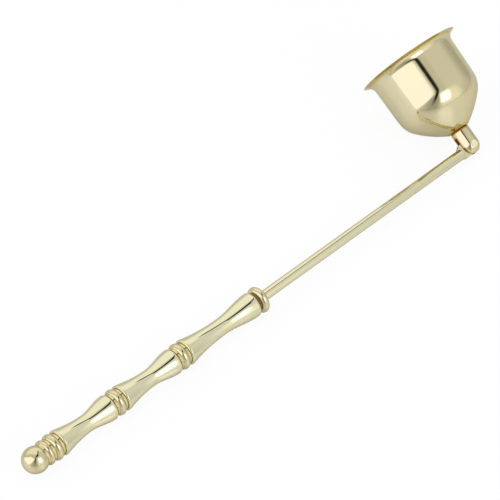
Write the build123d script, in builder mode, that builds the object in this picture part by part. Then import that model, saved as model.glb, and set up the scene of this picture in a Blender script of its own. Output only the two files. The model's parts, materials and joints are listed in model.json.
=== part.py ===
from build123d import *
import math
import os

# Candle snuffer: a bell hinged at the end of a rod, and a handle of turned pieces strung on the rod's tail.
# It lies on its side on Z = 0, on the beads of the handle and on the shoulder of the bell.
# +X runs along the rod from the ball to the hinge, and the mouth of the bell faces +Y and up.
# Lengths are in millimetres and angles in degrees.

# Fits
running_clearance = 0.05
press_clearance = 0.01
cheek_clearance = 0.12
overrun = 1.0

# Rod, its tail inside the handle, and the eye that turns on the hinge pin
rod_diameter = 4.0
rod_reach = 110.45
rod_seat_depth = 1.2
tail_diameter = 3.0
tail_grip_length = 5.0
eye_diameter = 5.6
eye_thickness = 1.76
eye_offset = 0.4
eye_flat_length = 4.6
eye_flare_length = 3.0
shank_setback = 5.1

# Ball and beads of the handle
ball_diameter = 10.2
ball_seat_diameter = 8.7
finial_ring_diameter = 9.9
finial_ring_width = 2.3
end_ring_diameter = 10.45
end_ring_width = 3.3
lower_ring_diameter = 10.45
upper_ring_diameter = 10.45
ring_width = 3.2
collar_diameter = 10.45
collar_width = 3.1
neck_diameter = 8.7
collar_neck_diameter = 7.2
recess_width = 0.8
finial_recess_width = 0.8
collar_recess_width = 1.0
spigot_diameter = 6.2
spigot_length = 1.0

# Hourglass grips
lower_grip_length = 25.3
lower_lip_diameter = 10.35
lower_waist_diameter = 6.75
lower_bulb_diameter = 10.05
middle_grip_length = 26.5
middle_lip_diameter = 10.35
middle_waist_diameter = 6.65
middle_bulb_diameter = 10.0
upper_grip_length = 34.8
upper_lip_diameter = 10.35
upper_waist_diameter = 6.5
upper_bulb_diameter = 9.8
lip_round = 0.7
lip_slope_share = 0.235
bulb_round = 1.2
waist_share = 0.535

# Bell
bell_height = 33.2
bell_wall = 0.9
lip_diameter = 41.6
lip_angle = 57.0
lip_fillet = 4.0
wall_diameter = 34.3
wall_draft = 1.3
shoulder_radius = 10.4
crown_radius = 40.0
crown_angle = 42.0
crown_seat_diameter = 7.8

# Hinge barrel, its pin, and the screw that holds it on the bell
barrel_diameter = 7.6
barrel_chamfer = 0.3
barrel_straight = 6.9
pin_setback = 7.5
pin_diameter = 3.0
pin_length = 7.6
pin_round = 0.25
slot_depth = 5.2
screw_diameter = 3.0
screw_head_diameter = 6.0
screw_head_height = 1.7
screw_head_rim = 0.7
screw_slot_width = 0.8
screw_slot_depth = 0.8
screw_seat_margin = 0.6

# Turn of the bell on the hinge, from the handle round to the mouth, as it lies
bell_turn = 93.0

# Stations along the handle, from the centre of the ball towards the hinge
ball_radius = ball_diameter / 2
ball_seat = math.sqrt(ball_radius**2 - (ball_seat_diameter / 2) ** 2)
finial_ring_start = ball_seat + finial_recess_width
end_ring_start = finial_ring_start + finial_ring_width + recess_width
lower_grip_start = end_ring_start + end_ring_width + recess_width
lower_ring_start = lower_grip_start + lower_grip_length + recess_width
middle_grip_start = lower_ring_start + ring_width + recess_width
upper_ring_start = middle_grip_start + middle_grip_length + recess_width
upper_grip_start = upper_ring_start + ring_width + recess_width
collar_start = upper_grip_start + upper_grip_length + collar_recess_width
collar_end = collar_start + collar_width
pin_station = collar_end + rod_reach

# Radii that several pieces share
rod_radius = rod_diameter / 2
tail_radius = tail_diameter / 2
tail_bore_radius = tail_radius + running_clearance
neck_radius = neck_diameter / 2
spigot_radius = spigot_diameter / 2
barrel_radius = barrel_diameter / 2
pin_radius = pin_diameter / 2
slot_width = eye_thickness + 2 * cheek_clearance
screw_radius = screw_diameter / 2
screw_bore_radius = screw_radius + running_clearance


def normal(angle):
    """Unit vector that points outwards from a wall of the bell, at an angle from its radius."""
    return Vector(math.cos(math.radians(angle)), math.sin(math.radians(angle)))


# Section of the bell: X is the radius, and Y the height from the mouth. The shoulder and the crown are
# arcs that meet at crown_angle, and the fillet of the lip lies outside the wall.
mouth_radius = lip_diameter / 2
crown_offset = normal(crown_angle) * (shoulder_radius - crown_radius)
shoulder_centre_radius = wall_diameter / 2 - shoulder_radius * normal(wall_draft).X
crown_centre_radius = shoulder_centre_radius + crown_offset.X
crown_seat_angle = math.degrees(math.acos((crown_seat_diameter / 2 - crown_centre_radius) / crown_radius))
crown_centre = Vector(crown_centre_radius, bell_height - crown_radius * normal(crown_seat_angle).Y)
shoulder_centre = crown_centre - crown_offset
wall_reach = lip_fillet + shoulder_radius + normal(wall_draft).dot(shoulder_centre)
lip_reach = lip_fillet + normal(lip_angle).X * mouth_radius
lip_turn = math.sin(math.radians(lip_angle - wall_draft))
fillet_centre = Vector(
    (wall_reach * normal(lip_angle).Y - lip_reach * normal(wall_draft).Y) / lip_turn,
    (lip_reach * normal(wall_draft).X - wall_reach * normal(lip_angle).X) / lip_turn,
)
screw_seat_radius = screw_head_diameter / 2 + screw_seat_margin
screw_seat_cosine = (screw_seat_radius - crown_centre.X) / (crown_radius - bell_wall)
screw_seat_angle = math.degrees(math.acos(screw_seat_cosine))
screw_seat_height = crown_centre.Y + (crown_radius - bell_wall) * normal(screw_seat_angle).Y
dome_height = bell_height + barrel_straight
pin_height = bell_height + pin_setback
slot_floor_height = pin_height - slot_depth

# The rod lies level on the widest bead, and the bell tips until its shoulder touches the ground.
# The pin lies beside the axis of the rod, on the bell's side.
rest_radius = max(
    ball_diameter,
    finial_ring_diameter,
    end_ring_diameter,
    lower_ring_diameter,
    upper_ring_diameter,
    collar_diameter,
    lower_lip_diameter,
    middle_lip_diameter,
    upper_lip_diameter,
) / 2
shoulder_drop = pin_height - shoulder_centre.Y + eye_offset / math.sin(math.radians(bell_turn))
shoulder_reach = math.hypot(shoulder_centre.X, shoulder_drop)
bell_tilt = math.acos((rest_radius - shoulder_radius) / shoulder_reach)
bell_tilt -= math.atan2(shoulder_drop, shoulder_centre.X)
hinge_roll = math.asin(math.sin(bell_tilt) / math.sin(math.radians(bell_turn)))

# Directions: along the rod, up the pin, and out of the mouth
rod_direction = Vector(1, 0, 0)
pin_direction = Vector(0, -math.sin(hinge_roll), math.cos(hinge_roll))
swing_direction = pin_direction.cross(rod_direction)
mouth_direction = swing_direction * math.sin(math.radians(bell_turn))
mouth_direction -= rod_direction * math.cos(math.radians(bell_turn))

# The origin is the middle of the underside of the box round the snuffer
mouth_span_x = mouth_radius * math.sqrt(1 - mouth_direction.X**2)
mouth_span_y = mouth_radius * math.sqrt(1 - mouth_direction.Y**2)
pin_point = Vector(
    (pin_station + ball_radius - pin_height * mouth_direction.X - mouth_span_x) / 2,
    (rest_radius + eye_offset * swing_direction.Y - pin_height * mouth_direction.Y - mouth_span_y) / 2,
    rest_radius + eye_offset * swing_direction.Z,
)
ball_point = pin_point - swing_direction * eye_offset - rod_direction * pin_station
mouth_point = pin_point + mouth_direction * pin_height

# Planes and axes: the handle turns on X, the bell on its own axis, and the hinge on the pin
handle_section = Plane(origin=ball_point, x_dir=rod_direction, z_dir=(0, -1, 0))
handle_axis = Axis(ball_point, rod_direction)
hinge_plane = Plane(origin=pin_point, x_dir=rod_direction, z_dir=pin_direction)
slot_plane = Plane(origin=pin_point, x_dir=mouth_direction, z_dir=pin_direction)
bell_section = Plane(origin=mouth_point, x_dir=pin_direction, z_dir=mouth_direction.cross(pin_direction))
bell_axis = Axis(mouth_point, -mouth_direction)

os.makedirs("parts", exist_ok=True)


def save(piece, label):
    """Name a finished piece and write it to its own file."""
    piece.label = label
    export_step(piece, f"parts/{label}.step")


def make_ring(
    label,
    start,
    width,
    diameter,
    neck=neck_radius,
    before=0,
    after=0,
    spigot_before=0,
    spigot_after=0,
    seat_depth=0,
):
    """Turn a half-round bead with its necks and spigots, and a seat for the rod where it has one."""
    first = start - before
    last = start + width + after
    spigot_first = first - spigot_before
    spigot_last = last + spigot_after
    with BuildPart() as ring:
        with BuildSketch(handle_section):
            with Locations(((first + last) / 2, (neck + tail_bore_radius) / 2)):
                Rectangle(last - first, neck - tail_bore_radius)
            with Locations(((spigot_first + spigot_last) / 2, (spigot_radius + tail_bore_radius) / 2)):
                Rectangle(spigot_last - spigot_first, spigot_radius - tail_bore_radius)
            with Locations((start + width / 2, diameter / 2 - width / 2)):
                Circle(width / 2)
            with Locations(((spigot_first + spigot_last) / 2, 0)):
                Rectangle(spigot_last - spigot_first + 2 * overrun, 2 * tail_bore_radius, mode=Mode.SUBTRACT)
            if seat_depth:
                with Locations((last, 0)):
                    Rectangle(2 * seat_depth, rod_diameter + 2 * running_clearance, mode=Mode.SUBTRACT)
        revolve(axis=handle_axis)
    save(ring.part, label)


def make_grip(label, start, length, lip_diameter, waist_diameter, bulb_diameter):
    """Turn an hourglass grip: a crisp lip, a drawn-in waist and a round bulb, with a socket at each end."""
    end = start + length
    lip_radius = lip_diameter / 2
    bulb_radius = bulb_diameter / 2
    lip_foot = (start, lip_radius - lip_round)
    lip_crest = (start + lip_round, lip_radius)
    waist = (start + waist_share * length, waist_diameter / 2)
    bulb_crest = (end - bulb_round, bulb_radius)
    bulb_foot = (end, bulb_radius - bulb_round)
    with BuildPart() as grip:
        with BuildSketch(handle_section):
            with BuildLine():
                TangentArc(lip_foot, lip_crest, tangent=(0, 1))
                Spline(lip_crest, waist, tangents=[(1, -lip_slope_share), (1, 0)])
                Spline(waist, bulb_crest, tangents=[(1, 0), (1, 0)])
                TangentArc(bulb_crest, bulb_foot, tangent=(1, 0))
                Polyline(bulb_foot, (end, tail_bore_radius), (start, tail_bore_radius), lip_foot)
            make_face()
            with Locations((start, 0), (end, 0)):
                Rectangle(2 * spigot_length, spigot_diameter + 2 * running_clearance, mode=Mode.SUBTRACT)
        revolve(axis=handle_axis)
    save(grip.part, label)


def bell_outline(inset, crown_end_angle):
    """Draw half of the bell's section, set in from its outer surface, from the mouth up to the crown."""
    rim = Vector(mouth_radius - inset / normal(lip_angle).X, 0)
    Line(rim, fillet_centre - normal(lip_angle) * (lip_fillet + inset))
    CenterArc(fillet_centre, lip_fillet + inset, lip_angle + 180, wall_draft - lip_angle)
    Line(
        fillet_centre - normal(wall_draft) * (lip_fillet + inset),
        shoulder_centre + normal(wall_draft) * (shoulder_radius - inset),
    )
    CenterArc(shoulder_centre, shoulder_radius - inset, wall_draft, crown_angle - wall_draft)
    CenterArc(crown_centre, crown_radius - inset, crown_angle, crown_end_angle - crown_angle)
    return rim


# Rod: the shank, the tail that carries the handle, and the flat eye with its flared root
tail_end = ball_seat - tail_grip_length
shank_start = collar_end - rod_seat_depth
shank_end = pin_station - shank_setback
eye_radius = eye_diameter / 2
flare_foot = math.sqrt(rod_radius**2 - (eye_thickness / 2) ** 2)
flare_start = -eye_flat_length - eye_flare_length
upper_flare_foot = (flare_start, flare_foot - eye_offset)
lower_flare_foot = (flare_start, -flare_foot - eye_offset)

with BuildPart() as rod:
    with BuildSketch(handle_section):
        with BuildLine():
            Polyline(
                (tail_end, 0),
                (tail_end, tail_radius),
                (shank_start, tail_radius),
                (shank_start, rod_radius),
                (shank_end, rod_radius),
                (shank_end, 0),
                close=True,
            )
        make_face()
    revolve(axis=handle_axis)
    with BuildSketch(hinge_plane):
        with BuildLine():
            TangentArc(upper_flare_foot, (-eye_flat_length, eye_radius), tangent=(1, 0))
            Line((-eye_flat_length, eye_radius), (0, eye_radius))
            CenterArc((0, 0), eye_radius, -90, 180)
            Line((0, -eye_radius), (-eye_flat_length, -eye_radius))
            TangentArc(lower_flare_foot, (-eye_flat_length, -eye_radius), tangent=(1, 0))
            Line(lower_flare_foot, upper_flare_foot)
        make_face()
    extrude(amount=eye_thickness / 2, both=True)
    with Locations(hinge_plane):
        Hole(pin_radius + running_clearance)
save(rod.part, "rod")

# Handle: beads whose spigots seat in the grips, clamped on the tail between the rod's shank and the ball
make_ring(
    "finial_ring",
    finial_ring_start,
    finial_ring_width,
    finial_ring_diameter,
    before=finial_recess_width,
    after=recess_width,
)
make_ring(
    "end_ring",
    end_ring_start,
    end_ring_width,
    end_ring_diameter,
    after=recess_width,
    spigot_after=spigot_length,
)
for label, start, diameter in (
    ("lower_ring", lower_ring_start, lower_ring_diameter),
    ("upper_ring", upper_ring_start, upper_ring_diameter),
):
    make_ring(
        label,
        start,
        ring_width,
        diameter,
        before=recess_width,
        after=recess_width,
        spigot_before=spigot_length,
        spigot_after=spigot_length,
    )
make_ring(
    "collar",
    collar_start,
    collar_width,
    collar_diameter,
    neck=collar_neck_diameter / 2,
    before=collar_recess_width,
    spigot_before=spigot_length,
    seat_depth=rod_seat_depth,
)
make_grip(
    "lower_grip",
    lower_grip_start,
    lower_grip_length,
    lower_lip_diameter,
    lower_waist_diameter,
    lower_bulb_diameter,
)
make_grip(
    "middle_grip",
    middle_grip_start,
    middle_grip_length,
    middle_lip_diameter,
    middle_waist_diameter,
    middle_bulb_diameter,
)
make_grip(
    "upper_grip",
    upper_grip_start,
    upper_grip_length,
    upper_lip_diameter,
    upper_waist_diameter,
    upper_bulb_diameter,
)

# Ball: the nut at the end of the tail, cut flat where it meets the finial ring
ball_seat_angle = math.degrees(math.acos(ball_seat / ball_radius))

with BuildPart() as finial_ball:
    with BuildSketch(handle_section):
        with BuildLine():
            CenterArc((0, 0), ball_radius, ball_seat_angle, 180 - ball_seat_angle)
            Polyline(
                (-ball_radius, 0),
                (tail_end, 0),
                (tail_end, tail_bore_radius),
                (ball_seat, tail_bore_radius),
                (ball_seat, ball_seat_diameter / 2),
            )
        make_face()
    revolve(axis=handle_axis)
save(finial_ball.part, "finial_ball")

# Bell: a thin wall between two parallel outlines, with a flat seat for the barrel and one for the screw
with BuildPart() as bell_cup:
    with BuildSketch(bell_section):
        with BuildLine():
            outer_rim = bell_outline(0, crown_seat_angle)
            Polyline(
                (crown_seat_diameter / 2, bell_height),
                (screw_bore_radius, bell_height),
                (screw_bore_radius, screw_seat_height),
                (screw_seat_radius, screw_seat_height),
            )
            inner_rim = bell_outline(bell_wall, screw_seat_angle)
            Line(inner_rim, outer_rim)
        make_face()
    revolve(axis=bell_axis)
save(bell_cup.part, "bell_cup")

# Hinge barrel: a round post with a domed end, slotted across for the eye of the rod
with BuildPart() as hinge_barrel:
    with BuildSketch(bell_section):
        with BuildLine():
            Polyline(
                (0, dome_height + barrel_radius),
                (0, slot_floor_height),
                (screw_bore_radius, slot_floor_height),
                (screw_bore_radius, bell_height),
                (barrel_radius - barrel_chamfer, bell_height),
                (barrel_radius, bell_height + barrel_chamfer),
                (barrel_radius, dome_height),
            )
            CenterArc((0, dome_height), barrel_radius, 0, 90)
        make_face()
    revolve(axis=bell_axis)
    with BuildSketch(slot_plane):
        with Locations((slot_depth, 0)):
            Rectangle(
                slot_depth + barrel_radius + overrun,
                barrel_diameter + 2 * overrun,
                align=(Align.MAX, Align.CENTER),
            )
    extrude(amount=slot_width / 2, both=True, mode=Mode.SUBTRACT)
    with Locations(slot_plane):
        Hole(pin_radius + press_clearance)
save(hinge_barrel.part, "hinge_barrel")

# Hinge pin: pressed into both cheeks of the barrel, with flat ends that stand just proud of them
with BuildPart() as hinge_pin:
    with BuildSketch(hinge_plane):
        Circle(pin_radius)
    extrude(amount=pin_length / 2, both=True)
    fillet(hinge_pin.edges().filter_by(GeomType.CIRCLE), pin_round)
save(hinge_pin.part, "hinge_pin")

# Screw inside the bell: a low domed head with a driver slot, and a shank that ends flush in the slot
screw_head_radius = screw_head_diameter / 2
screw_head_top = screw_seat_height - screw_head_height
screw_rim_height = screw_seat_height - screw_head_rim
driver_plane = Plane(
    origin=mouth_point - mouth_direction * screw_head_top,
    x_dir=pin_direction,
    z_dir=-mouth_direction,
)

with BuildPart() as bell_screw:
    with BuildSketch(bell_section):
        with BuildLine():
            TangentArc((0, screw_head_top), (screw_head_radius, screw_rim_height), tangent=(1, 0))
            Polyline(
                (screw_head_radius, screw_rim_height),
                (screw_head_radius, screw_seat_height),
                (screw_radius, screw_seat_height),
                (screw_radius, slot_floor_height),
                (0, slot_floor_height),
                (0, screw_head_top),
            )
        make_face()
    revolve(axis=bell_axis)
    with BuildSketch(driver_plane):
        Rectangle(screw_head_diameter + 2 * overrun, screw_slot_width)
    extrude(amount=screw_slot_depth, mode=Mode.SUBTRACT)
save(bell_screw.part, "bell_screw")
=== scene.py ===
"""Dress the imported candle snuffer: turned and plated pieces, a light tent and the photographed view."""

import json
import logging
import math
from dataclasses import dataclass
from enum import Enum
from typing import Any

import bmesh
import bpy
from mathutils import Matrix, Vector


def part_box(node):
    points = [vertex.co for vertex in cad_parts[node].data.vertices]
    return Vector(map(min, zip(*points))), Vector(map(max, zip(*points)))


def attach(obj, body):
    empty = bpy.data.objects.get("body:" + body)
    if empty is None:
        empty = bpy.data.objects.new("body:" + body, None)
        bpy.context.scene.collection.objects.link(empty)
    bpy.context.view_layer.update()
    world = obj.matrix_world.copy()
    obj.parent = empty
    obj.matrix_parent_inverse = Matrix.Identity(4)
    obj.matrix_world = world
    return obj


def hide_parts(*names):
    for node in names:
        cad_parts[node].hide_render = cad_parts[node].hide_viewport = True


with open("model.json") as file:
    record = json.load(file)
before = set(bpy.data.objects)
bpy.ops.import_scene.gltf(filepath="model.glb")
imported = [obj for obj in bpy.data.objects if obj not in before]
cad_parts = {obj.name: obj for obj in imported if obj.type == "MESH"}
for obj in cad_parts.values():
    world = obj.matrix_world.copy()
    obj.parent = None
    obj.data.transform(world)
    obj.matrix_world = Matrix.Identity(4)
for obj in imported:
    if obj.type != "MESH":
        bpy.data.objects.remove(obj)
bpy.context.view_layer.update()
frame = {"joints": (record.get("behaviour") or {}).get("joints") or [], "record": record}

log = logging.getLogger("snuffer")

MM = 0.001
DEGREES = math.degrees(1.0)
SHARP = math.radians(40.0)
UP = Vector((0.0, 0.0, 1.0))

# Room round a darkened box, reach of a merge and overlap of a cutter, in millimetres
SLACK = 0.01
WELD = 1e-4
OVERLAP = 1.0

ROUND_SEGMENTS = 3
QUARTERS = (0.25, 0.5, 0.75, 1.0)
MID_NOISE = 0.5
FULL_SHADE = 1.0  # recess of full painted shade, on faces out of sight, the barrel's slot and the collar's necks

Colour = tuple[float, float, float]
Point = tuple[float, float, float]
Box = tuple[Point, Point]


class Body(Enum):
    """Rigid bodies of the snuffer, joined by the hinge."""

    HANDLE = "handle"
    BELL = "bell"


class Slot(Enum):
    """Material slots of the record."""

    BELL = "bell_gold"
    HINGE = "hinge_gold"
    PIN = "pin_gold"
    SCREW = "screw_gold"
    ROD = "rod_gold"
    RING = "ring_gold"
    GRIP = "grip_gold"


class Cut(Enum):
    """Ways in which one solid works on another."""

    REMOVE = "DIFFERENCE"
    JOIN = "UNION"


# Shader graphs


class Value:
    """A number that a socket carries, with arithmetic that adds Math nodes."""

    def __init__(self, graph: "Graph", socket: bpy.types.NodeSocket) -> None:
        """Wrap a socket of a graph."""
        self.graph = graph
        self.socket = socket

    def math(self, operation: str, *others: "Value | float") -> "Value":
        """Add a Math node whose first input is this value.

        Args:
            operation: Name of the Math operation.
            others: The other inputs, values or numbers.

        Returns:
            The result of the node.
        """
        return self.graph.math(operation, self, *others)

    def __add__(self, other: "Value | float") -> "Value":
        """Add."""
        return self.math("ADD", other)

    def __radd__(self, other: float) -> "Value":
        """Add to a number."""
        return self.graph.math("ADD", other, self)

    def __sub__(self, other: "Value | float") -> "Value":
        """Subtract."""
        return self.math("SUBTRACT", other)

    def __rsub__(self, other: float) -> "Value":
        """Subtract from a number."""
        return self.graph.math("SUBTRACT", other, self)

    def __mul__(self, other: "Value | float") -> "Value":
        """Multiply."""
        return self.math("MULTIPLY", other)

    def __rmul__(self, other: float) -> "Value":
        """Multiply a number."""
        return self.graph.math("MULTIPLY", other, self)

    def step(self, low: float, high: float) -> "Value":
        """Rise smoothly from 0 at low to 1 at high.

        Args:
            low: Where the rise starts.
            high: Where it ends.

        Returns:
            The eased value.
        """
        limits = {"From Min": low, "From Max": high, "To Min": 0.0, "To Max": 1.0}
        node = self.graph.node("ShaderNodeMapRange", {"interpolation_type": "SMOOTHSTEP"}, {0: self, **limits})
        return Value(self.graph, node.outputs[0])


class Graph:
    """A node tree under construction."""

    def __init__(self, tree: bpy.types.NodeTree) -> None:
        """Start from an empty tree."""
        self.tree = tree
        tree.nodes.clear()

    def node(
        self,
        kind: str,
        settings: dict[str, Any] | None = None,
        inputs: dict[Any, Any] | None = None,
    ) -> Any:
        """Add one node.

        Args:
            kind: Type of the node.
            settings: Properties, set before the sockets.
            inputs: Values or links of the sockets, by name or number.

        Returns:
            The new node.
        """
        node = self.tree.nodes.new(kind)
        for name, setting in (settings or {}).items():
            setattr(node, name, setting)
        for key, given in (inputs or {}).items():
            socket = node.inputs[key]
            if isinstance(given, Value):
                self.tree.links.new(given.socket, socket)
            elif isinstance(given, bpy.types.NodeSocket):
                self.tree.links.new(given, socket)
            else:
                socket.default_value = given
        return node

    def math(self, operation: str, *inputs: "Value | float") -> Value:
        """Add a Math node.

        Args:
            operation: Name of the Math operation.
            inputs: Its inputs, values or numbers.

        Returns:
            The result of the node.
        """
        node = self.node("ShaderNodeMath", {"operation": operation}, dict(enumerate(inputs)))
        return Value(self, node.outputs[0])

    def blend(self, share: "Value | float", first: Any, second: Any) -> bpy.types.NodeSocket:
        """Mix two colours.

        Args:
            share: How much of the second colour is taken.
            first: Colour at share 0, or its socket.
            second: Colour at share 1, or its socket.

        Returns:
            The socket of the mixed colour.
        """
        node = self.node("ShaderNodeMix", {"data_type": "RGBA"}, {"Factor": share})
        for key, given in (("A", first), ("B", second)):
            socket = next(s for s in node.inputs if s.name == key and s.type == "RGBA")
            if isinstance(given, bpy.types.NodeSocket):
                self.tree.links.new(given, socket)
            else:
                socket.default_value = (*given, 1.0)
        return next(s for s in node.outputs if s.type == "RGBA")

    def noise(self, vector: Any, scale: float, detail: float) -> Value:
        """Add a noise texture.

        Args:
            vector: Socket of the coordinates.
            scale: Waves in a unit of the coordinates.
            detail: Octaves.

        Returns:
            The noise, about 0.5 in the middle.
        """
        node = self.node("ShaderNodeTexNoise", None, {"Vector": vector, "Scale": scale, "Detail": detail})
        return Value(self, node.outputs[0])

    def along(self, vector: Any, way: Vector) -> Value:
        """Measure a vector along a direction.

        Args:
            vector: Socket of the vector.
            way: The direction.

        Returns:
            The dot product of the two.
        """
        node = self.node("ShaderNodeVectorMath", {"operation": "DOT_PRODUCT"}, {0: vector, 1: way})
        return Value(self, node.outputs["Value"])

    def parts(self, vector: Any) -> tuple[Value, ...]:
        """Split a vector.

        Args:
            vector: Socket of the vector.

        Returns:
            Its three parts.
        """
        node = self.node("ShaderNodeSeparateXYZ", None, {0: vector})
        return tuple(Value(self, socket) for socket in node.outputs)

    def beside(self, place: "Place", unit: Any) -> bpy.types.NodeSocket:
        """Measure the points of a surface beside an axis.

        Args:
            place: The axis.
            unit: Lengths that count as 1 along the axis, to its side and square to both.

        Returns:
            The socket of the measured point.
        """
        point = self.node("ShaderNodeTexCoord").outputs["Object"]
        axis = {"Location": place.origin, "Rotation": place.turn().to_euler(), "Scale": unit}
        return self.node("ShaderNodeMapping", {"vector_type": "TEXTURE"}, {"Vector": point, **axis}).outputs[0]


def blank_material(name: str) -> tuple[bpy.types.Material, Graph]:
    """Make a material with no nodes yet.

    Args:
        name: Name of the material.

    Returns:
        The material and its graph.
    """
    material = bpy.data.materials.new(name)
    material.use_nodes = True
    return material, Graph(material.node_tree)


# Places


@dataclass(frozen=True)
class Place:
    """An axis in the frame: its origin, its direction and a side, in metres."""

    origin: Vector
    along: Vector
    side: Vector

    def turn(self) -> Matrix:
        """Return the turn from the axis's own directions to the frame's."""
        return Matrix((self.along, self.side, self.along.cross(self.side))).transposed()

    def matrix(self, unit: float = MM) -> Matrix:
        """Return the move from lengths beside the axis, in millimetres unless told, to the frame."""
        return Matrix.Translation(self.origin) @ self.turn().to_4x4() @ Matrix.Scale(unit, 4)


def heading(azimuth: float, elevation: float) -> Vector:
    """Find a direction.

    Args:
        azimuth: Turn from -Y towards +X, in degrees.
        elevation: Rise from the floor, in degrees.

    Returns:
        The unit vector.
    """
    a, e = math.radians(azimuth), math.radians(elevation)
    return Vector((math.sin(a) * math.cos(e), -math.cos(a) * math.cos(e), math.sin(e)))


# Finishes


@dataclass(frozen=True)
class GoldPlate:
    """Polished pale gold plating, with lathe lines, polishing haze and painted shade in its recesses.

    Lengths are in millimetres, and waves in a millimetre.
    """

    colour: Colour = (0.634, 0.581, 0.355)
    cloud_colour: Colour = (0.663, 0.593, 0.349)
    # Colours of the painted shade in recesses: warm at half depth, dark brown at full depth
    warm_shade_colour: Colour = (0.64, 0.49, 0.15)
    deep_shade_colour: Colour = (0.19, 0.105, 0.045)
    deep_shade_dulling: float = 0.85
    edge_tint: Colour = (0.744, 0.721, 0.674)
    roughness: float = 0.055
    least_roughness: float = 0.02
    haze: float = 0.05
    recess_roughness: float = 0.16
    cloud_waves: float = 0.09
    cloud_low: float = 0.3
    cloud_high: float = 0.7
    haze_waves: float = 0.6
    line_waves: float = 7.0
    line_turn: float = 0.25
    line_depth: float = 0.00025
    ripple_waves: float = 0.16
    ripple_depth: float = 0.004

    def material(self, name: str, place: Place) -> bpy.types.Material:
        """Make the finish for pieces that turn on one axis.

        Args:
            name: Name of the material.
            place: Axis that the lathe lines follow.

        Returns:
            The material.
        """
        material, graph = blank_material(name)
        beside = graph.beside(place, (MM, MM, MM))
        along, side, up = graph.parts(beside)
        radius = (side * side + up * up).math("SQRT")
        angle = up.math("ARCTAN2", side) * self.line_turn
        lathe = graph.node("ShaderNodeCombineXYZ", None, {0: along, 1: radius, 2: angle}).outputs[0]
        lines = graph.noise(lathe, self.line_waves, detail=2.0)
        clouds = graph.noise(beside, self.cloud_waves, detail=2.0)
        haze = graph.noise(beside, self.haze_waves, detail=3.0)
        ripple = graph.noise(beside, self.ripple_waves, detail=1.0)
        recess = Value(graph, graph.node("ShaderNodeAttribute", {"attribute_name": "recess"}).outputs["Fac"])
        plate = graph.blend(clouds.step(self.cloud_low, self.cloud_high), self.colour, self.cloud_colour)
        # Painted shade: the plate yellows over the first half of a recess's depth, then browns and dulls over the
        # second, standing for the warm interreflection and shadow in hollows
        warm = (recess * 2.0).math("MINIMUM", 1.0)
        deep = (recess * 2.0 - 1.0).math("MAXIMUM", 0.0)
        colour = graph.blend(deep, graph.blend(warm, plate, self.warm_shade_colour), self.deep_shade_colour)
        polish = self.roughness + (haze - MID_NOISE) * self.haze + (lines - MID_NOISE) * self.haze
        relief = lines * (self.line_depth * MM) + ripple * (self.ripple_depth * MM)
        bump = graph.node("ShaderNodeBump", None, {"Height": relief, "Strength": 1.0, "Distance": 1.0})
        sockets = {
            "Base Color": colour,
            "Metallic": 1.0 - deep * self.deep_shade_dulling,
            "Specular Tint": (*self.edge_tint, 1.0),
            "Roughness": (polish + recess * self.recess_roughness).math("MAXIMUM", self.least_roughness),
            "Normal": bump.outputs[0],
        }
        shader = graph.node("ShaderNodeBsdfPrincipled", None, sockets)
        graph.node("ShaderNodeOutputMaterial", None, {"Surface": shader.outputs[0]})
        return material


# Solids


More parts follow.
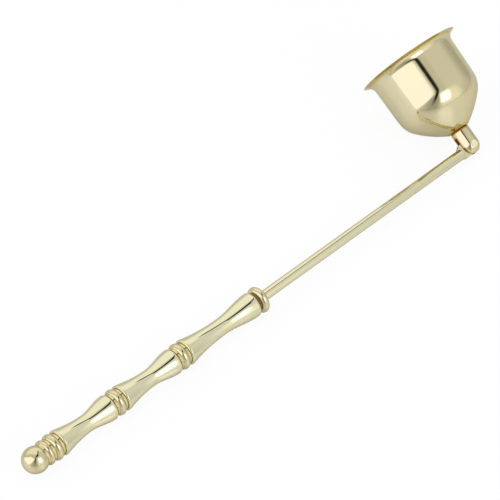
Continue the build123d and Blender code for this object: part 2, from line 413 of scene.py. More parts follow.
class Section:
    """Half of a turned piece's outline, drawn in millimetres as a chain of edges beside its axis."""

    def __init__(self) -> None:
        """Start with no points."""
        self.mesh = bmesh.new()
        # Depth in a recess at each vertex, which the plating paints as shade
        self.recess = self.mesh.verts.layers.float.new("recess")
        self.tip: bmesh.types.BMVert | None = None
        self.first: bmesh.types.BMVert | None = None
        self.eased: list[tuple[bmesh.types.BMVert, float]] = []

    def point(self, along: float, radius: float, recess: float = 0.0, ease: float = 0.0) -> "Section":
        """Start at a point, or draw a straight line to it.

        Args:
            along: Place along the axis.
            radius: Distance from the axis.
            recess: How deep in a recess the point is, from 0 to 1, which sets its painted shade.
            ease: Size of the round at the corner there.

        Returns:
            The section.
        """
        if self.tip is None:
            vert = self.mesh.verts.new()
            self.first = vert
        else:
            vert = bmesh.ops.extrude_vert_indiv(self.mesh, verts=[self.tip])["verts"][0]
        vert.co = (along, radius, 0.0)
        vert[self.recess] = recess
        if ease:
            self.eased.append((vert, ease))
        self.tip = vert
        return self

    def arc(self, along: float, radius: float, degrees: float, steps: int, recess: float = 0.0) -> "Section":
        """Draw an arc from the last point.

        Args:
            along: Place of the centre along the axis.
            radius: Distance of the centre from the axis.
            degrees: Turn of the arc, anticlockwise.
            steps: Number of edges.
            recess: How deep in a recess the arc is, from 0 to 1, which sets its painted shade.

        Returns:
            The section.
        """
        known = set(self.mesh.verts)
        made = bmesh.ops.spin(
            self.mesh,
            geom=[self.tip],
            cent=(along, radius, 0.0),
            axis=(0.0, 0.0, 1.0),
            angle=math.radians(degrees),
            steps=steps,
            use_merge=False,
        )
        for vert in self.mesh.verts:
            if vert not in known:
                vert[self.recess] = recess
        self.tip = next(v for v in made["geom_last"] if isinstance(v, bmesh.types.BMVert))
        return self

    def close(self) -> "Section":
        """Join the last point to the first."""
        self.mesh.edges.new((self.tip, self.first))
        return self

    def ease(self) -> None:
        """Round the marked corners."""
        for vert, size in self.eased:
            bmesh.ops.bevel(
                self.mesh,
                geom=[vert],
                offset=size,
                offset_type="OFFSET",
                segments=ROUND_SEGMENTS,
                profile=0.5,
                affect="VERTICES",
                material=-1,
            )
        self.eased.clear()

    def turned(self, steps: int) -> bmesh.types.BMesh:
        """Turn the section all the way round its axis.

        Args:
            steps: Number of steps round the axis.

        Returns:
            The closed surface, in millimetres.
        """
        self.ease()
        bmesh.ops.spin(
            self.mesh,
            geom=self.mesh.verts[:] + self.mesh.edges[:],
            cent=(0.0, 0.0, 0.0),
            axis=(1.0, 0.0, 0.0),
            angle=math.tau,
            steps=steps,
            use_merge=True,
        )
        bmesh.ops.remove_doubles(self.mesh, verts=self.mesh.verts, dist=WELD)
        bmesh.ops.recalc_face_normals(self.mesh, faces=self.mesh.faces)
        return self.mesh

    def plate(self, thickness: float) -> bmesh.types.BMesh:
        """Fill the closed outline and thicken it evenly to both sides.

        Args:
            thickness: Thickness of the plate.

        Returns:
            The closed plate, in millimetres.
        """
        self.ease()
        face = bmesh.ops.contextual_create(self.mesh, geom=self.mesh.edges[:])["faces"]
        bmesh.ops.translate(self.mesh, verts=self.mesh.verts, vec=(0.0, 0.0, -thickness / 2))
        raised = bmesh.ops.extrude_face_region(self.mesh, geom=face, use_keep_orig=True)["geom"]
        lifted = [v for v in raised if isinstance(v, bmesh.types.BMVert)]
        bmesh.ops.translate(self.mesh, verts=lifted, vec=(0.0, 0.0, thickness))
        bmesh.ops.recalc_face_normals(self.mesh, faces=self.mesh.faces)
        return self.mesh


def block(low: Point, high: Point) -> bmesh.types.BMesh:
    """Make a box between two corners.

    Args:
        low: Lowest corner, in millimetres.
        high: Highest corner.

    Returns:
        The box.
    """
    mesh = bmesh.new()
    bmesh.ops.create_cube(mesh, size=1.0)
    first, last = Vector(low), Vector(high)
    bmesh.ops.scale(mesh, vec=last - first, verts=mesh.verts)
    bmesh.ops.translate(mesh, vec=(first + last) / 2, verts=mesh.verts)
    return mesh


def put(name: str, solid: bmesh.types.BMesh, matrix: Matrix) -> bpy.types.Object:
    """Make an object of a surface, at the origin with its place in its mesh.

    Args:
        name: Name of the object and its mesh.
        solid: The surface, which is used up.
        matrix: Move of the surface into the frame.

    Returns:
        The object.
    """
    bmesh.ops.transform(solid, matrix=matrix, verts=solid.verts)
    for face in solid.faces:
        face.smooth = True
    mesh = bpy.data.meshes.new(name)
    solid.to_mesh(mesh)
    solid.free()
    made = bpy.data.objects.new(name, mesh)
    bpy.context.scene.collection.objects.link(made)
    return made


@dataclass
class Piece:
    """One shown piece of the snuffer."""

    name: str
    body: Body
    slot: Slot
    node: str

    def make(self, solid: bmesh.types.BMesh, place: Place, rounds: int = 0) -> bpy.types.Object:
        """Put a solid in the frame.

        Args:
            solid: Closed surface in millimetres, beside its axis.
            place: Axis of the piece.
            rounds: Levels of subdivision.

        Returns:
            The object, which rides on its body and stands for its CAD node.
        """
        piece = put(self.name, solid, place.matrix())
        if rounds:
            smooth = piece.modifiers.new("rounds", "SUBSURF")
            smooth.levels = smooth.render_levels = rounds
        else:
            piece.data.set_sharp_from_angle(angle=SHARP)
        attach(piece, self.body.value)
        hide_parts(self.node)
        return piece


def work(piece: bpy.types.Object, tool: bmesh.types.BMesh, place: Place, cut: Cut) -> None:
    """Join a solid to a piece, or remove it.

    Args:
        piece: Object that is worked on.
        tool: Solid in millimetres, beside its axis.
        place: Axis of the tool.
        cut: Whether the tool joins or removes.
    """
    helper = put("tool", tool, place.matrix())
    step = piece.modifiers.new("work", "BOOLEAN")
    step.operation = cut.value
    step.solver = "EXACT"
    step.object = helper
    graph = bpy.context.evaluated_depsgraph_get()
    result = bpy.data.meshes.new_from_object(piece.evaluated_get(graph))
    piece.modifiers.clear()
    used = piece.data, helper.data
    piece.data = result
    bpy.data.objects.remove(helper)
    for mesh in used:
        bpy.data.meshes.remove(mesh)
    result.name = piece.name


def darken(piece: bpy.types.Object, place: Place, box: Box, share: float) -> None:
    """Paint shade on the part of a worked piece that lies in a box.

    Args:
        piece: Object that is darkened.
        place: Axis that the box lies beside.
        box: Its lowest and highest corners, in millimetres.
        share: Depth of the painted shade, from 0 to 1.
    """
    beside = place.matrix().inverted()
    recess = piece.data.attributes["recess"].data
    for vert, value in zip(piece.data.vertices, recess):
        spot = beside @ vert.co
        if all(low - SLACK <= c <= high + SLACK for low, c, high in zip(box[0], spot, box[1])):
            value.value = max(value.value, share)


def soften(piece: bpy.types.Object, width: float) -> None:
    """Round the sharp edges of a worked piece.

    Args:
        piece: Object whose edges are rounded.
        width: Width of the round, in millimetres.
    """
    edge = piece.modifiers.new("edge", "BEVEL")
    edge.width = width * MM
    edge.segments = ROUND_SEGMENTS
    edge.limit_method = "ANGLE"
    edge.angle_limit = SHARP
    edge.harden_normals = False
    piece.data.set_sharp_from_angle(angle=SHARP)


# Bell, barrel, pin and screw


@dataclass
class Bell:
    """Spun bell with its slotted hinge barrel, the rivet of the hinge and the screw inside.

    Lengths are in millimetres and angles in degrees. Painted shade runs from 0 to 1.
    """

    place: Place
    pin: Place
    pin_height: float
    height: float = 33.2
    wall: float = 0.9
    lip_diameter: float = 41.6
    lip_angle: float = 57.0
    lip_fillet: float = 4.0
    flare_angle: float = 70.0
    flare_fillet: float = 3.3
    flare_band: float = 0.3
    flare_shade: float = 0.4
    wall_diameter: float = 34.3
    draft: float = 1.3
    shoulder_radius: float = 10.4
    crown_radius: float = 40.0
    crown_angle: float = 42.0
    crown_seat: float = 7.8
    crown_band: float = 0.16
    crown_foot_shade: float = 0.45
    inner_crown_shade: float = 0.25
    inner_wall_shade: float = 0.2
    inner_lip_shade: float = 0.15
    inner_rim_shade: float = 0.1
    rim_ease: float = 0.3
    arc_steps: int = 8
    barrel_diameter: float = 7.6
    barrel_chamfer: float = 0.3
    barrel_straight: float = 6.9
    barrel_foot_shade: float = 0.8
    slot_width: float = 2.0
    slot_depth: float = 5.2
    slot_ease: float = 0.14
    pin_diameter: float = 3.0
    pin_length: float = 7.6
    pin_round: float = 0.25
    pin_edge_shade: float = 0.1
    screw_bore: float = 1.55
    screw_radius: float = 1.5
    head_radius: float = 3.0
    head_height: float = 1.7
    head_rim: float = 0.7
    head_slot: float = 0.8
    head_ease: float = 0.1
    head_slot_shade: float = 0.8
    seat_margin: float = 0.6

    @staticmethod
    def outward(degrees: float) -> Vector:
        """Return the unit vector at an angle from the radius, as (height, radius)."""
        return Vector((math.sin(math.radians(degrees)), math.cos(math.radians(degrees))))

    def __post_init__(self) -> None:
        """Work out the centres of the arcs of the section."""
        lean = self.outward(self.crown_angle) * (self.shoulder_radius - self.crown_radius)
        shoulder_across = self.wall_diameter / 2 - self.shoulder_radius * self.outward(self.draft).y
        crown_across = shoulder_across + lean.y
        self.seat_angle = math.degrees(math.acos((self.crown_seat / 2 - crown_across) / self.crown_radius))
        self.crown = Vector((self.height - self.crown_radius * self.outward(self.seat_angle).x, crown_across))
        self.shoulder = self.crown - lean
        self.fillet = self.lip_centre(self.lip_angle, self.lip_fillet)
        self.flare = self.lip_centre(self.flare_angle, self.flare_fillet)
        self.seat_radius = self.head_radius + self.seat_margin
        inner = self.crown_radius - self.wall
        self.inner_seat_angle = math.degrees(math.acos((self.seat_radius - self.crown.y) / inner))
        self.seat_height = self.crown.x + inner * self.outward(self.inner_seat_angle).x
        self.slot_floor = self.pin_height - self.slot_depth

    def lip_centre(self, angle: float, fillet: float) -> Vector:
        """Find the centre of the round between the wall and the lip.

        Args:
            angle: Angle of the lip.
            fillet: Radius of the round.

        Returns:
            The centre, as (height, radius).
        """
        lip, side = self.outward(angle), self.outward(self.draft)
        wall_reach = fillet + self.shoulder_radius + side.dot(self.shoulder)
        lip_reach = fillet + lip.y * self.lip_diameter / 2
        across = math.sin(math.radians(angle - self.draft))
        height = (lip_reach * side.y - wall_reach * lip.y) / across
        radius = (wall_reach * lip.x - lip_reach * side.x) / across
        return Vector((height, radius))

    def cup_section(self) -> Section:
        """Draw the section of the cup: up the outside, across the crown and down the inside.

        Returns:
            The closed section.
        """
        mouth, steps = self.lip_diameter / 2, self.arc_steps
        lip, side = self.outward(self.lip_angle), self.outward(self.draft)
        bend = self.crown_angle - self.draft
        section = Section().point(0.0, mouth, ease=self.rim_ease)

        foot = self.flare - self.outward(self.flare_angle) * self.flare_fillet
        sweep = self.flare_angle - self.draft
        # Painted shade on a band of the concave flare, for the warm interreflection there
        section.point(*foot, self.flare_shade)
        section.arc(*self.flare, sweep * self.flare_band, steps=3, recess=self.flare_shade)
        section.arc(*self.flare, sweep * (1 - self.flare_band), steps=7)
        low = self.flare - side * self.flare_fillet
        top = self.shoulder + side * self.shoulder_radius
        for share in QUARTERS:
            section.point(*low.lerp(top, share))
        section.arc(*self.shoulder, -bend, steps)
        sweep = self.crown_angle - self.seat_angle
        section.arc(*self.crown, sweep * (1 - self.crown_band), steps)
        # Painted shade on the band of the crown round the barrel's foot
        section.arc(*self.crown, sweep * self.crown_band, steps=3, recess=self.crown_foot_shade)

        section.point(self.height, self.screw_bore, FULL_SHADE).point(self.seat_height, self.screw_bore, FULL_SHADE)
        section.point(self.seat_height, self.seat_radius, FULL_SHADE)
        # Inside the cup, painted shade darkens the crown, wall, lip and rim
        sweep = self.inner_seat_angle - self.crown_angle
        section.arc(*self.crown, sweep, steps, self.inner_crown_shade)
        section.arc(*self.shoulder, bend, steps, self.inner_wall_shade)
        low = self.fillet - side * (self.lip_fillet + self.wall)
        top = self.shoulder + side * (self.shoulder_radius - self.wall)
        for share in QUARTERS:
            section.point(*low.lerp(top, 1 - share), self.inner_wall_shade)
        section.arc(*self.fillet, self.draft - self.lip_angle, steps, self.inner_lip_shade)
        section.point(0.0, mouth - self.wall / lip.y, self.inner_rim_shade, self.rim_ease)
        return section.close()

    def barrel_section(self) -> Section:
        """Draw the section of the barrel, whole, before its slot is cut.

        Returns:
            The closed section.
        """
        radius, chamfer, foot = self.barrel_diameter / 2, self.barrel_chamfer, self.height
        blind = self.slot_floor + OVERLAP
        # Painted shade line at the chamfer where the barrel stands on the cup
        section = Section().point(foot, self.screw_bore, FULL_SHADE).point(foot, radius - chamfer, FULL_SHADE)
        section.point(foot + chamfer, radius, FULL_SHADE).point(foot + 2 * chamfer, radius, self.barrel_foot_shade)
        section.point(foot + 3 * chamfer, radius)
        dome = foot + self.barrel_straight
        section.point(dome, radius).arc(dome, 0.0, -90.0, steps=24)
        return section.point(blind, 0.0, FULL_SHADE).point(blind, self.screw_bore, FULL_SHADE).close()

    def pin_section(self) -> Section:
        """Draw the section of the pin, with its flat ends.

        Returns:
            The section, open at the axis.
        """
        # Faint painted shade over the pin's rounded edges and side
        half, turn, shade = self.pin_length / 2, self.pin_round, self.pin_edge_shade
        radius = self.pin_diameter / 2
        section = Section().point(-half, 0.0).point(-half, radius - turn, shade)
        section.arc(turn - half, radius - turn, -90.0, steps=6, recess=shade).point(half - turn, radius, shade)
        return section.arc(half - turn, radius - turn, -90.0, steps=6, recess=shade).point(half, 0.0)

    def screw_section(self) -> Section:
        """Draw the section of the screw, before its driver slot is cut.

        Returns:
            The section, open at the axis.
        """
        top = self.seat_height - self.head_height
        rise = self.head_height - self.head_rim
        dome = (self.head_radius**2 + rise**2) / (2 * rise)
        bend = math.degrees(math.asin(self.head_radius / dome))
        section = Section().point(top, 0.0).arc(top + dome, 0.0, -bend, steps=16)
        section.point(self.seat_height, self.head_radius).point(self.seat_height, self.screw_radius)
        return section.point(self.slot_floor, self.screw_radius).point(self.slot_floor, 0.0)

    def carve(self, piece: bpy.types.Object, box: Box, share: float, ease: float) -> None:
        """Cut a box out of a piece, paint shade into the cut and round its edges.

        Args:
            piece: Object that is cut.
            box: Lowest and highest corners of the cut.
            share: Depth of the painted shade.
            ease: Width of the round.
        """
        work(piece, block(*box), self.place, Cut.REMOVE)
        darken(piece, self.place, box, share)
        soften(piece, ease)

    def build(self) -> list[bpy.types.Object]:
        """Make the four pieces of the bell and dress them.

        Returns:
            The cup, the barrel, the rivet and the screw.
        """
        cup = Piece("spun_bell", Body.BELL, Slot.BELL, "bell_cup")
        barrel = Piece("slotted_barrel", Body.BELL, Slot.HINGE, "hinge_barrel")
        rivet = Piece("hinge_rivet", Body.BELL, Slot.PIN, "hinge_pin")
        screw = Piece("crown_screw", Body.BELL, Slot.SCREW, "bell_screw")
        pieces = [
            cup.make(self.cup_section().turned(steps=80), self.place, rounds=2),
            barrel.make(self.barrel_section().turned(steps=96), self.place),
            rivet.make(self.pin_section().turned(steps=64), self.pin),
            screw.make(self.screw_section().turned(steps=64), self.place),
        ]
        reach, half = self.barrel_diameter / 2 + OVERLAP, self.slot_width / 2
        slot = (self.slot_floor, -half, -reach), (self.pin_height + reach, half, reach)
        # The slot's faces take full painted shade
        self.carve(pieces[1], slot, FULL_SHADE, self.slot_ease)
        top, reach, half = self.seat_height - self.head_height, self.head_radius + OVERLAP, self.head_slot / 2
        groove = (top - OVERLAP / 2, -reach, -half), (top + self.head_slot, reach, half)
        # Painted shade in the screw head's driver slot
        self.carve(pieces[3], groove, self.head_slot_shade, self.head_ease)
        self.dress(pieces)
        return pieces

    def dress(self, pieces: list[bpy.types.Object]) -> None:
        """Plate the pieces of the bell.

        Args:
            pieces: The cup, the barrel, the rivet and the screw.
        """
        plates = (
            ("bell_plate", GoldPlate(), self.place),
            # The barrel's deepest painted shade is a saturated dark brown, for the shadowed slot
            ("barrel_plate", GoldPlate(deep_shade_colour=(0.35, 0.134, 0.026), deep_shade_dulling=1.0), self.place),
            # Paler rivet metal, brightened partly as a painted highlight on the pin's end
            ("rivet_plate", GoldPlate(colour=(0.96, 0.92, 0.62), cloud_colour=(0.95, 0.90, 0.58)), self.pin),
            ("screw_plate", GoldPlate(roughness=0.16, haze=0.1), self.place),
        )
        for piece, (name, plate, place) in zip(pieces, plates):
            piece.data.materials.append(plate.material(name, place))


# Rod and handle


@dataclass
class Ring:
    """A half-round bead with the necks and spigots beside it, in millimetres, and the painted shade of its necks.
    """

    node: str
    name: str
    neck_diameter: float
    before: float = 0.0
    after: float = 0.0
    spigot_before: float = 0.0
    spigot_after: float = 0.0
    seat_depth: float = 0.0
    neck_floor_shade: float = 0.16


@dataclass
class Grip:
    """An hourglass grip, in millimetres."""

    node: str
    name: str
    waist_diameter: float
    bulb_diameter: float


@dataclass
class Handle:
    """Drawn rod with its eye, and the turned pieces strung on its tail.

    Lengths are in millimetres. Painted shade runs from 0 to 1.
    """

    place: Place
    eye: Place
    rod_diameter: float = 4.0
    tail_diameter: float = 3.0
    tail_ease: float = 0.2
    shank_setback: float = 5.1
    shank_ease: float = 0.25
    seat_depth: float = 1.2
    clearance: float = 0.05
    eye_diameter: float = 5.6
    eye_thickness: float = 1.76
    eye_offset: float = 0.4
    eye_flat: float = 4.6
    eye_flare: float = 3.0
    eye_ease: float = 0.14
    eye_slot_shade: float = 0.22
    pin_bore: float = 3.1
    neck_diameter: float = 8.7
    collar_neck_diameter: float = 7.2
    neck_ease: float = 0.06
    neck_line: float = 0.16
    neck_edge_shade: float = 0.75
    hub_shade: float = 0.5
    seat_face_shade: float = 0.3
    spigot_diameter: float = 6.2
    spigot: float = 1.0
    socket_ease: float = 0.1
    recess: float = 0.8
    collar_recess: float = 1.0
    lip_round: float = 0.7
    lip_slope: float = 0.235
    lip_foot_shade: float = 0.5
    bulb_round: float = 1.2
    waist_share: float = 0.535
    waist_steps: int = 8
    ball_seat: float = 8.7
    tail_grip: float = 5.0

    def __post_init__(self) -> None:
        """Work out the radii of the bores and sockets."""
        self.bore = self.tail_diameter / 2 + self.clearance
        self.socket = self.spigot_diameter / 2 + self.clearance

    def span(self, node: str) -> tuple[float, float, float]:
        """Measure a turned CAD node.

        Args:
            node: Name of the node.

        Returns:
            Its start and end along the handle, from the pin, and its largest radius.
        """
        low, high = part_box(node)
        start = (low.x - self.place.origin.x) / MM
        end = (high.x - self.place.origin.x) / MM
        return start, end, (high.z - low.z) / 2 / MM

    def ring_section(self, ring: Ring) -> Section:
        """Draw the section of a bead.

        Args:
            ring: The bead.

        Returns:
            Its closed section.
        """
        start, end, radius = self.span(ring.node)
        neck_start, neck_end = start + ring.spigot_before, end - ring.spigot_after
        first, last = neck_start + ring.before, neck_end - ring.after
        middle, half = (first + last) / 2, (last - first) / 2
        spigot, neck, line = self.spigot_diameter / 2, ring.neck_diameter / 2, self.neck_line
        hub = radius - half
        lift = max(neck - hub, 0.0)
        reach = math.sqrt(half**2 - lift**2)
        section = Section().point(start, self.bore, FULL_SHADE)
        if ring.spigot_before:
            section.point(start, spigot, FULL_SHADE).point(neck_start, spigot, FULL_SHADE)
        # Painted shade in the necks: darkest at their corners and by the bead, lighter on their floors
        section.point(neck_start, neck, self.neck_edge_shade, self.neck_ease)
        if ring.before:
            section.point(neck_start + line, neck, ring.neck_floor_shade)
            section.point(middle - reach - line, neck, ring.neck_floor_shade)
        section.point(middle - reach, neck, self.neck_edge_shade)
        if not lift:
            section.point(first, hub, self.hub_shade)
        section.arc(middle, hub, 2 * math.degrees(math.asin(lift / half)) - 180.0, steps=24)
        section.point(middle + reach, neck, self.neck_edge_shade)
        if ring.after:
            section.point(middle + reach + line, neck, ring.neck_floor_shade)
            section.point(neck_end - line, neck, ring.neck_floor_shade)
            section.point(neck_end, neck, self.neck_edge_shade, self.neck_ease)
        if ring.spigot_after:
            section.point(neck_end, spigot, FULL_SHADE).point(end, spigot, FULL_SHADE)
        if ring.seat_depth:
            seat, floor = self.rod_diameter / 2 + self.clearance, end - ring.seat_depth
            # Painted shade on the end face round the rod's seat
            section.point(end, (seat + hub) / 2, self.seat_face_shade).point(end, seat, FULL_SHADE)
            section.point(floor, seat, FULL_SHADE).point(floor, self.bore, FULL_SHADE)
        else:
            section.point(end, self.bore, FULL_SHADE)
        return section.close()

    def grip_section(self, grip: Grip) -> Section:
        """Draw the section of an hourglass grip.

        Args:
            grip: The grip.

        Returns:
            Its closed section.
        """
        start, end, lip = self.span(grip.node)
        bulb, waist = grip.bulb_diameter / 2, grip.waist_diameter / 2
        middle = start + self.waist_share * (end - start)
        crest, crown = start + self.lip_round, end - self.bulb_round
        floor, roof = start + self.spigot, end - self.spigot
        shares = [step / self.waist_steps for step in range(1, self.waist_steps + 1)]
        section = Section().point(floor, self.bore, FULL_SHADE).point(floor, self.socket, FULL_SHADE)
        section.point(start, self.socket, FULL_SHADE, self.socket_ease)
        # Painted shade at the foot of the grip's lip, beside the neck
        section.point(start, lip - self.lip_round, self.lip_foot_shade)
        section.arc(crest, lip - self.lip_round, -90.0, steps=6)
        fall = self.lip_slope * (middle - crest)
        for share in shares:
            ease = share * share * (3 - 2 * share)
            sway = share * (1 - share) ** 2
            section.point(crest + share * (middle - crest), lip - (lip - waist) * ease - fall * sway)
        for share in shares:
            ease = share * share * (3 - 2 * share)
            section.point(middle + share * (crown - middle), waist + (bulb - waist) * ease)
        section.arc(crown, bulb - self.bulb_round, -90.0, steps=8)
        section.point(end, self.socket, FULL_SHADE, self.socket_ease).point(roof, self.socket, FULL_SHADE)
        return section.point(roof, self.bore, FULL_SHADE).close()

    def ball_section(self) -> Section:
        """Draw the section of the ball, with its flat seat and the blind bore for the tail.

        Returns:
            The section, open at the axis.
        """
        start, end, radius = self.span("finial_ball")
        depth = end - self.tail_grip
        bend = math.degrees(math.asin(self.ball_seat / 2 / radius))
        section = Section().point(start, 0.0).arc(start + radius, 0.0, bend - 180.0, steps=72)
        section.point(end, self.bore, FULL_SHADE).point(depth, self.bore, FULL_SHADE)
        return section.point(depth, 0.0, FULL_SHADE)

    def rod_section(self) -> Section:
        """Draw the section of the rod's shank and tail.

        Returns:
            The section, open at the axis.
        """
        start, _, _ = self.span("rod")
        _, collar_end, _ = self.span("collar")
        tail, shank = self.tail_diameter / 2, self.rod_diameter / 2
        step = collar_end - self.seat_depth
        section = Section().point(start, 0.0).point(start, tail, ease=self.tail_ease)
        section.point(step, tail).point(step, shank).point(-self.shank_setback, shank, ease=self.shank_ease)
        return section.point(-self.shank_setback, 0.0)

    def eye_section(self) -> Section:
        """Draw the outline of the flat eye and its flared root.

        Returns:
            The closed outline.
        """
        radius = self.eye_diameter / 2
        foot = math.sqrt((self.rod_diameter / 2) ** 2 - (self.eye_thickness / 2) ** 2)
        root = -self.eye_flat - self.eye_flare
        upper, lower = foot - self.eye_offset, foot + self.eye_offset
        bow = [(self.eye_flare**2 + rise**2) / (2 * rise) for rise in (radius - upper, radius - lower)]
        bend = [math.degrees(math.asin(self.eye_flare / flare)) for flare in bow]
        section = Section()
        section.point(root, upper).arc(root, upper + bow[0], bend[0], steps=12)
        section.point(0.0, radius).arc(0.0, 0.0, -180.0, steps=48)
        section.point(-self.eye_flat, -radius).arc(root, -lower - bow[1], bend[1], steps=12)
        return section.close()

    def bore_section(self) -> Section:
        """Draw the section of the cutter for the eye's bore.

        Returns:
            The section, open at the axis.
        """
        reach, radius = self.eye_thickness, self.pin_bore / 2
        section = Section().point(-reach, 0.0).point(-reach, radius)
        return section.point(reach, radius).point(reach, 0.0)

    def build_rod(self) -> bpy.types.Object:
        """Make the rod, join its eye and bore it for the pin.

        Returns:
            The rod.
        """
        rod = Piece("drawn_rod", Body.HANDLE, Slot.ROD, "rod")
        shown = rod.make(self.rod_section().turned(steps=96), self.place)
        work(shown, self.eye_section().plate(self.eye_thickness), self.eye, Cut.JOIN)
        pin = Place(self.eye.origin, self.eye.along.cross(self.eye.side), self.eye.along)
        work(shown, self.bore_section().turned(steps=48), pin, Cut.REMOVE)
        # Painted shade on the eye and the rod's end, which sit in the barrel's slot
        reach = self.eye_diameter
        box = (-self.shank_setback, -reach, -reach), (reach, reach, reach)
        darken(shown, self.eye, box, self.eye_slot_shade)
        soften(shown, self.eye_ease)
        return shown

    def build(self) -> list[bpy.types.Object]:
        """Make the pieces of the handle and the rod, and dress them.

        Returns:
            The pieces.
        """
        neck, recess, spigot = self.neck_diameter, self.recess, self.spigot
        # The collar's necks take full painted shade
        collar = Ring("collar", "rod_collar", self.collar_neck_diameter, self.collar_recess, neck_floor_shade=FULL_SHADE)
        collar.spigot_before, collar.seat_depth = spigot, self.seat_depth
        beads = []
        for ring in (
            Ring("finial_ring", "finial_bead", neck, recess, recess),
            Ring("end_ring", "end_bead", neck, after=recess, spigot_after=spigot),
            Ring("lower_ring", "lower_bead", neck, recess, recess, spigot, spigot),
            Ring("upper_ring", "upper_bead", neck, recess, recess, spigot, spigot),
            collar,
        ):
            piece = Piece(ring.name, Body.HANDLE, Slot.RING, ring.node)
            beads.append(piece.make(self.ring_section(ring).turned(steps=128), self.place))
        grips = []
        for grip in (
            Grip("lower_grip", "hourglass_lower", waist_diameter=6.75, bulb_diameter=10.05),
            Grip("middle_grip", "hourglass_middle", waist_diameter=6.65, bulb_diameter=10.0),
            Grip("upper_grip", "hourglass_upper", waist_diameter=6.5, bulb_diameter=9.8),
        ):
            piece = Piece(grip.name, Body.HANDLE, Slot.GRIP, grip.node)
            grips.append(piece.make(self.grip_section(grip).turned(steps=64), self.place, rounds=2))
        ball = Piece("ball_end", Body.HANDLE, Slot.RING, "finial_ball")
        beads.append(ball.make(self.ball_section().turned(steps=144), self.place))
        rod = self.build_rod()
        self.dress(beads, grips, rod)
        return [*beads, *grips, rod]

    def dress(self, beads: list[bpy.types.Object], grips: list[bpy.types.Object], rod: bpy.types.Object) -> None:
        """Plate the pieces of the handle.

        Args:
            beads: The beads, the collar and the ball.
            grips: The hourglass grips.
            rod: The rod.
        """
        warm = GoldPlate(line_depth=0.0004)
        pale = GoldPlate(colour=(0.698, 0.669, 0.448), cloud_colour=(0.709, 0.663, 0.424), line_depth=0.0005)
        for name, plate, pieces in (
            ("bead_plate", warm, beads),
            ("grip_plate", pale, grips),
            ("rod_plate", pale, [rod]),
        ):
            material = plate.material(name, self.place)
            for piece in pieces:
                piece.data.materials.append(material)


# Studio


@dataclass(frozen=True)
class TentPanel:
    """A lit or dark panel of the tent, in degrees round the object and above the floor.

    The panel leans when its azimuth moves with height.
    """

    azimuth: float
    width: float
    low: float
    high: float
    edge: float
    level: float
    lean: float = 0.0
    tint: Colour = (1.0, 1.0, 1.0)


@dataclass(frozen=True)
class Softbox:
    """A lit card with soft edges that faces a point: its heading in degrees, and its sizes in metres."""

    name: str
    faces: Point
    azimuth: float
    elevation: float
    distance: float
    width: float
    height: float
    edge_share: float
    level: float
    tint: Colour

    def build(self) -> None:
        """Hang the card, which lights the object and shows in the metal only."""
        back = heading(self.azimuth, self.elevation)
        right = UP.cross(back).normalized()
        place = Place(Vector(self.faces) + back * self.distance, right, back.cross(right))
        half = Vector((self.width / 2, self.height / 2, 1.0))
        mesh = bmesh.new()
        bmesh.ops.create_grid(mesh, x_segments=1, y_segments=1, size=1.0)
        bmesh.ops.scale(mesh, vec=half, verts=mesh.verts)
        card = put(self.name, mesh, place.matrix(1.0))
        card.visible_camera = False
        material, graph = blank_material(self.name)
        across, up, _ = graph.parts(graph.beside(place, half))
        lit: Any = 1.0
        for way in (across, up):
            lit = (1.0 - way.math("ABSOLUTE").step(1.0 - self.edge_share, 1.0)) * lit
        glow = graph.node("ShaderNodeEmission", None, {"Color": (*self.tint, 1.0), "Strength": self.level})
        clear = graph.node("ShaderNodeBsdfTransparent")
        both = graph.node("ShaderNodeMixShader", None, {0: lit, 1: clear.outputs[0], 2: glow.outputs[0]})
        graph.node("ShaderNodeOutputMaterial", None, {"Surface": both.outputs[0]})
        card.data.materials.append(material)


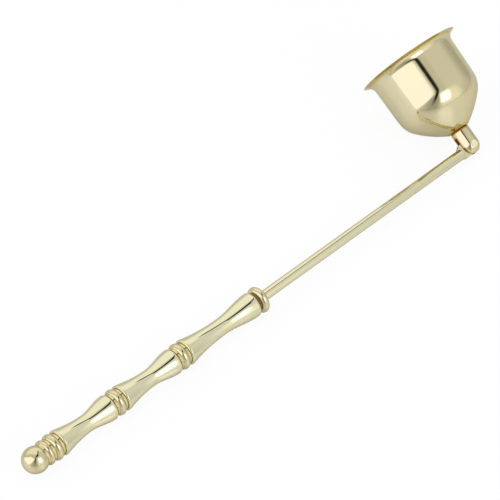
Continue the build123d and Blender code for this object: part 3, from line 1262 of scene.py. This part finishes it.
@dataclass
class Studio:
    """Light tent with its panels, the slit that the camera looks through, a key card and a pale floor.

    The slit bends through points that give its azimuth, elevation and half-width in degrees.
    """

    tent_level: float = 0.79
    slit_level: float = 0.026
    slit_edge: float = 1.8
    slit_fade: float = 34.0
    slit: tuple[Point, ...] = (
        (-46.0, 8.0, 4.6),
        (-40.0, 50.0, 3.4),
        (-37.0, 61.0, 2.7),
        (-12.0, 72.3, 5.2),
        (20.0, 72.8, 6.6),
        (45.0, 70.5, 3.2),
        (110.0, 48.0, 0.0),
    )
    floor_reach: float = 3.0
    floor_sides: int = 96
    floor_glow: float = 0.92
    floor_gleam: float = 0.25
    floor_roughness: float = 0.12
    floor_index: float = 2.0
    floor_colour: Colour = (0.95, 0.95, 0.95)
    panels: tuple[TentPanel, ...] = (
        TentPanel(-42.0, 44.0, -30.0, 44.0, edge=12.0, level=0.516),
        TentPanel(45.0, 84.0, 20.0, 74.0, edge=16.0, level=0.894, tint=(1.0, 1.0, 1.05)),
        TentPanel(95.0, 40.0, -30.0, 20.0, edge=14.0, level=0.62),
        TentPanel(150.0, 110.0, 18.0, 95.0, edge=12.0, level=1.204),
        TentPanel(7.0, 58.0, -20.0, 46.0, edge=14.0, level=1.187),
        TentPanel(-117.0, 64.0, -8.0, 58.0, edge=5.0, level=1.565, lean=0.6, tint=(1.0, 0.985, 1.16)),
    )
    key: Softbox = Softbox(
        name="key_card",
        faces=(0.1, 0.0, 0.02),
        azimuth=-9.0,
        elevation=31.0,
        distance=0.75,
        width=0.52,
        height=0.7,
        edge_share=0.7,
        level=2.58,
        tint=(1.0, 1.0, 1.15),
    )

    def light(self) -> None:
        """Make the world: an even tent, its panels and the dark slit."""
        world = bpy.data.worlds.new("light_tent")
        bpy.context.scene.world = world
        world.use_nodes = True
        graph = Graph(world.node_tree)
        direction = graph.node("ShaderNodeTexCoord").outputs["Generated"]
        x, y, z = graph.parts(direction)
        azimuth = x.math("ARCTAN2", 0.0 - y) * DEGREES
        height = z.math("ARCSINE") * DEGREES
        level: Any = (self.tent_level,) * 3
        for panel in self.panels:
            turn = azimuth - panel.azimuth - height * panel.lean
            turn = turn.math("WRAP", 180.0, -180.0).math("ABSOLUTE")
            across = 1.0 - turn.step(panel.width / 2 - panel.edge, panel.width / 2 + panel.edge)
            up = height.step(panel.low - panel.edge, panel.low + panel.edge)
            down = 1.0 - height.step(panel.high - panel.edge, panel.high + panel.edge)
            lit = tuple(panel.level * t for t in panel.tint)
            level = graph.blend(across * up * down, level, lit)
        edge, fade = self.slit_edge, self.slit_fade
        for (*start, half), (*end, _) in zip(self.slit, self.slit[1:]):
            first, last = heading(*start), heading(*end)
            normal = first.cross(last).normalized()
            off, after, before = (
                graph.along(direction, way).math("ARCSINE") * DEGREES
                for way in (normal, normal.cross(first), last.cross(normal))
            )
            across = 1.0 - off.math("ABSOLUTE").step(half - edge, half + edge)
            dark = across * after.step(-half - edge, fade) * before.step(-half - edge, edge - half)
            level = graph.blend(dark, level, (self.slit_level,) * 3)
            fade = edge - half
        shader = graph.node("ShaderNodeBackground", None, {"Color": level, "Strength": 1.0})
        graph.node("ShaderNodeOutputWorld", None, {"Surface": shader.outputs[0]})

    def floor(self) -> None:
        """Lay the pale floor, which the camera and the metal see a little whiter than it is lit."""
        mesh = bmesh.new()
        bmesh.ops.create_circle(mesh, cap_ends=True, segments=self.floor_sides, radius=self.floor_reach)
        floor = put("pale_floor", mesh, Matrix())
        material, graph = blank_material("pale_floor")
        path = graph.node("ShaderNodeLightPath")
        eye, gloss, clear = (
            Value(graph, path.outputs[k]) for k in ("Is Camera Ray", "Is Glossy Ray", "Is Transmission Ray")
        )
        shown = (eye * self.floor_glow).math("MAXIMUM", gloss.math("MAXIMUM", clear) * self.floor_gleam)
        diffuse = graph.node("ShaderNodeBsdfDiffuse", None, {"Color": (*self.floor_colour, 1.0)})
        glow = graph.node("ShaderNodeEmission", None, {"Color": (1.0, 1.0, 1.0, 1.0), "Strength": 1.0})
        pale = graph.node("ShaderNodeMixShader", None, {0: shown, 1: diffuse.outputs[0], 2: glow.outputs[0]})
        sheen = graph.node("ShaderNodeBsdfGlossy", None, {"Roughness": self.floor_roughness})
        fresnel = graph.node("ShaderNodeFresnel", None, {"IOR": self.floor_index})
        facing = Value(graph, fresnel.outputs[0]) * (1.0 - eye)
        both = graph.node("ShaderNodeMixShader", None, {0: facing, 1: pale.outputs[0], 2: sheen.outputs[0]})
        graph.node("ShaderNodeOutputMaterial", None, {"Surface": both.outputs[0]})
        floor.data.materials.append(material)

    def build(self) -> None:
        """Light the object, lay the floor and hang the card."""
        self.light()
        self.floor()
        self.key.build()


@dataclass
class View:
    """Camera of the photograph.

    Its heading and roll are in degrees, its aim, distance, lens and sensor in millimetres and its reach in metres.
    """

    azimuth: float = -44.73
    elevation: float = 47.33
    roll: float = 0.77
    aim: Point = (22.3, 17.11, -21.78)
    distance: float = 1550.0
    lens: float = 295.96
    sensor: float = 36.0
    reach: float = 20.0

    def build(self) -> None:
        """Make the camera."""
        back = heading(self.azimuth, self.elevation)
        level = UP.cross(back).normalized()
        turn = math.radians(self.roll)
        right = level * math.cos(turn) + back.cross(level) * math.sin(turn)
        data = bpy.data.cameras.new("photo_view")
        data.lens = self.lens
        data.sensor_width = self.sensor
        data.clip_end = self.reach
        camera = bpy.data.objects.new("photo_view", data)
        bpy.context.scene.collection.objects.link(camera)
        basis = Matrix((right, back.cross(right), back)).transposed().to_4x4()
        camera.matrix_world = Matrix.Translation((Vector(self.aim) + back * self.distance) * MM) @ basis
        bpy.context.scene.camera = camera


def main() -> None:
    """Build the pieces on the frame, then the studio and the view."""
    logging.basicConfig(level=logging.INFO, format="%(message)s")
    bpy.context.scene.view_settings.view_transform = "Standard"
    joint = frame["joints"][0]
    mount = frame["record"]["mounts"][0]
    hinge, pin_axis = Vector(joint["pos_m"]), Vector(joint["axis"])
    mouth = Vector(mount["axis"])
    pin_height = (Vector(mount["pos_m"]) - hinge).dot(mouth)
    rod = Vector((1.0, 0.0, 0.0))
    bell = Bell(
        place=Place(hinge + mouth * pin_height, -mouth, pin_axis),
        pin=Place(hinge, pin_axis, rod),
        pin_height=pin_height / MM,
    )
    low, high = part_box("collar")
    axle = Vector((hinge.x, (low.y + high.y) / 2, (low.z + high.z) / 2))
    handle = Handle(
        place=Place(axle, rod, Vector((0.0, 1.0, 0.0))),
        eye=Place(hinge, rod, pin_axis.cross(rod)),
    )
    for piece in bell.build() + handle.build():
        log.info("piece %s: %d faces, %s", piece.name, len(piece.data.polygons), piece.data.materials[0].name)
    Studio().build()
    View().build()


if __name__ == "__main__":
    main()
